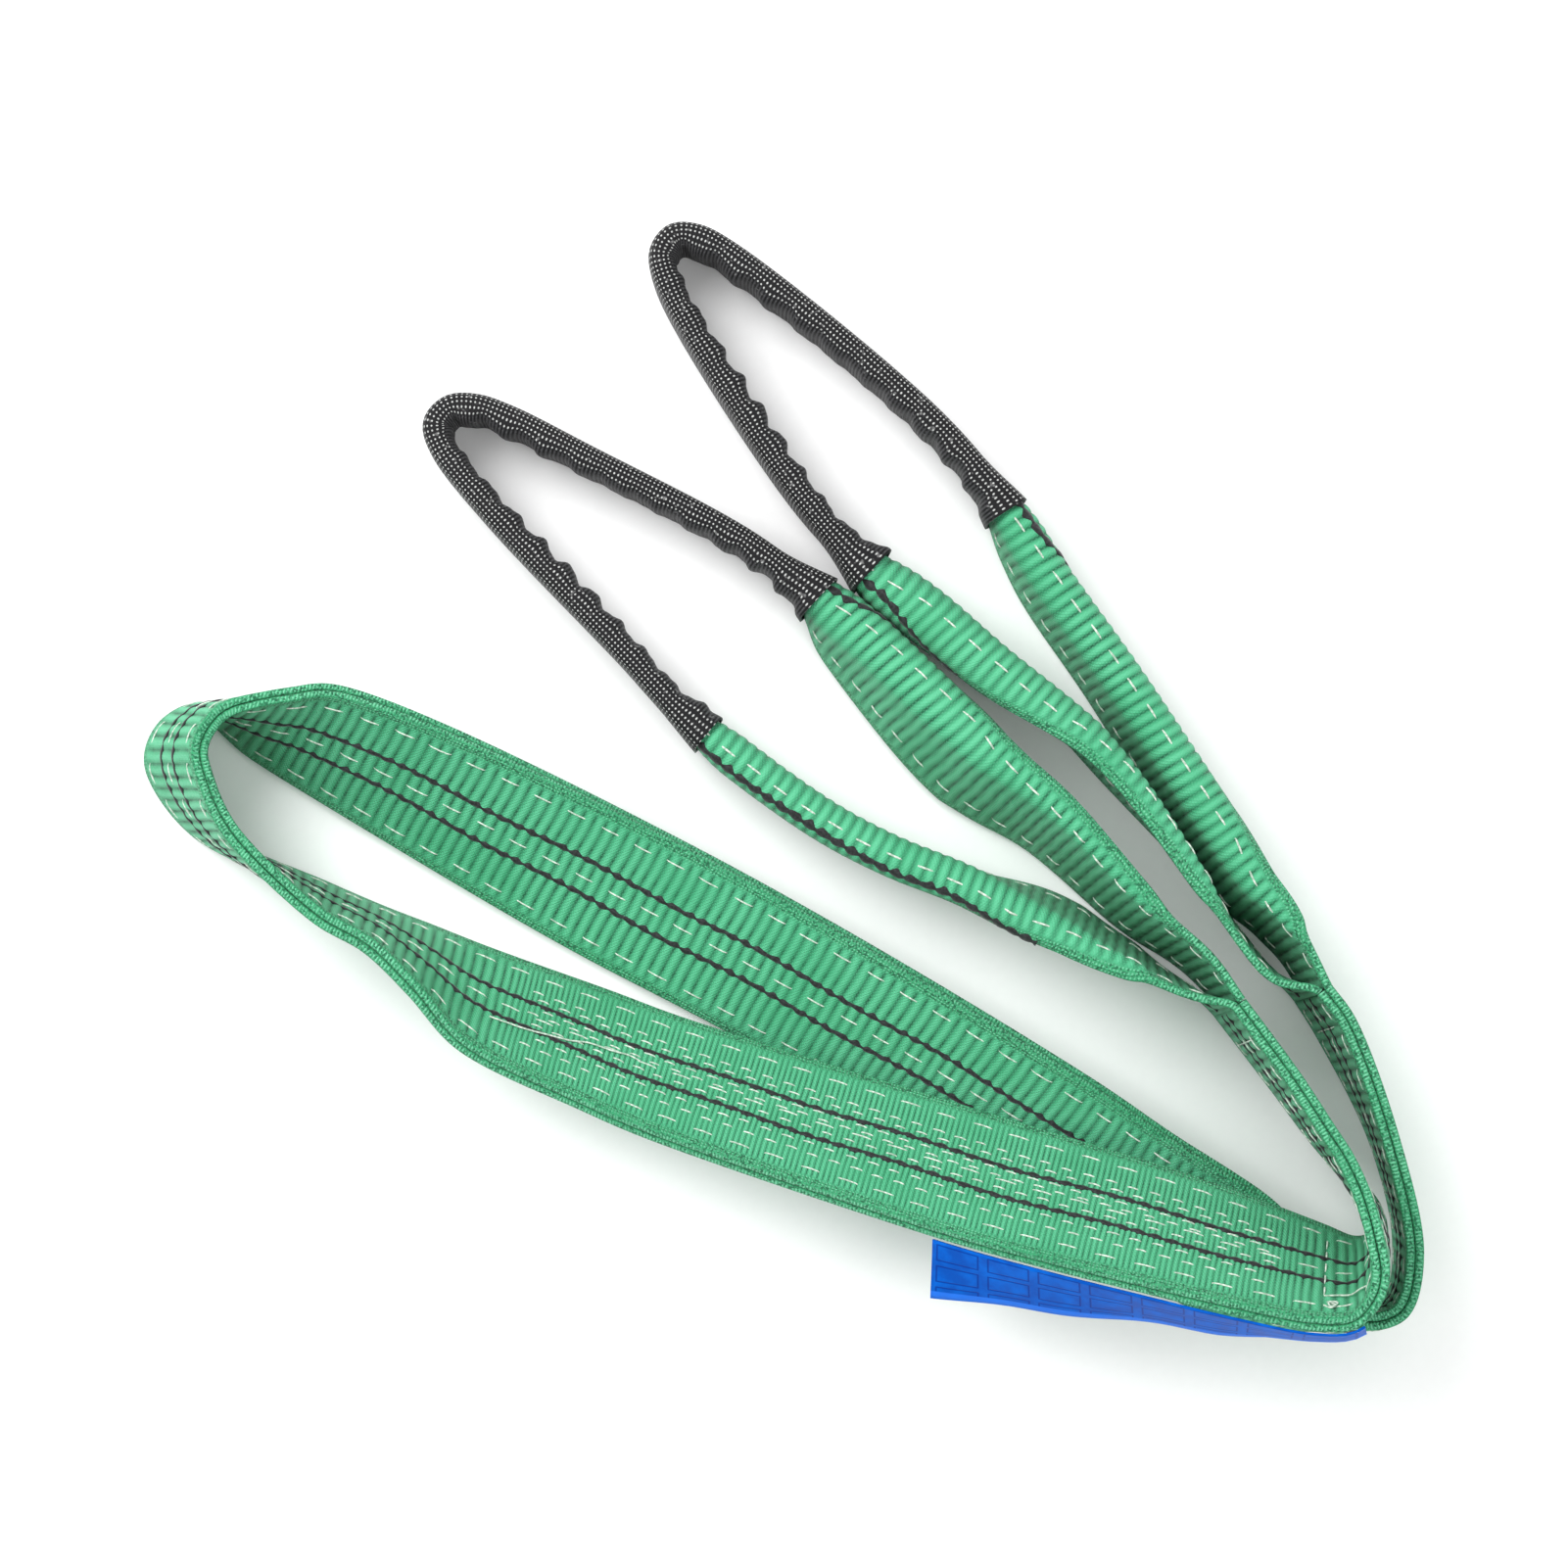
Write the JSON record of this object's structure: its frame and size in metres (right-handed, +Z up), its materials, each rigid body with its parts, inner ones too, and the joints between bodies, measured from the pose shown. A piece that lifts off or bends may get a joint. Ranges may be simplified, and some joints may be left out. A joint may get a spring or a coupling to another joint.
{
  "type": "flat web lifting sling",
  "caption": "Flat two-ply web lifting sling with a soft eye at each end, each eye inside a woven wear sleeve.",
  "frame": {"origin": "middle of the footprint of the sling as it lies, on the surface that it lies on", "axes": "+Z up, +X along the longest side of the footprint, +Y towards the eyes"},
  "size_m": [0.4769, 0.4152, 0.1076],
  "materials": {
    "webbing_green": "ribbed polyester webbing with a slight sheen",
    "thread_white": "matt sewing thread",
    "tracer_black": "matt woven-in tracer yarn",
    "sleeve_black": "coarse black weave with white checks",
    "label_blue": "smooth coated label cloth"
  },
  "bodies": {
    "body": {"body_ply_inner": "webbing_green", "body_ply_outer": "webbing_green", "seam_low_needle_thread": "thread_white", "seam_low_bobbin_thread": "thread_white", "seam_middle_needle_thread": "thread_white", "seam_middle_bobbin_thread": "thread_white", "seam_high_needle_thread": "thread_white", "seam_high_bobbin_thread": "thread_white", "overlap_seam_needle_thread": "thread_white", "overlap_seam_bobbin_thread": "thread_white", "eye_1_root_tack_inner": "thread_white", "eye_1_root_tack_outer": "thread_white", "eye_2_root_tack_inner": "thread_white", "eye_2_root_tack_outer": "thread_white", "body_end_tack": "thread_white", "tracer_low_inner_face": "tracer_black", "tracer_low_outer_face": "tracer_black", "tracer_high_inner_face": "tracer_black", "tracer_high_outer_face": "tracer_black"},
    "eye_1": {"eye_1_webbing": "webbing_green", "wear_sleeve_1": "sleeve_black", "eye_1_fold_seam_a": "thread_white", "eye_1_fold_seam_b": "thread_white"},
    "eye_2": {"eye_2_webbing": "webbing_green", "wear_sleeve_2": "sleeve_black", "eye_2_fold_seam_a": "thread_white", "eye_2_fold_seam_b": "thread_white"},
    "label_flap": {"label": "label_blue"}
  },
  "joints": [
    {"name": "eye_1_swing", "type": "hinge", "parent": "body", "child": "eye_1", "pos_m": [0.19728, -0.07804, 0.03044], "axis": [0, 0, 1], "range_deg": [-35, 0]},
    {"name": "eye_2_swing", "type": "hinge", "parent": "body", "child": "eye_2", "pos_m": [0.16603, -0.08313, 0.03293], "axis": [0, 0, 1], "range_deg": [0, 8]},
    {"name": "label_swing", "type": "hinge", "parent": "body", "child": "label_flap", "pos_m": [0.14504, -0.18609, 0.09178], "axis": [0.9514, -0.185, 0.2462], "range_deg": [-8, 8]}
  ]
}
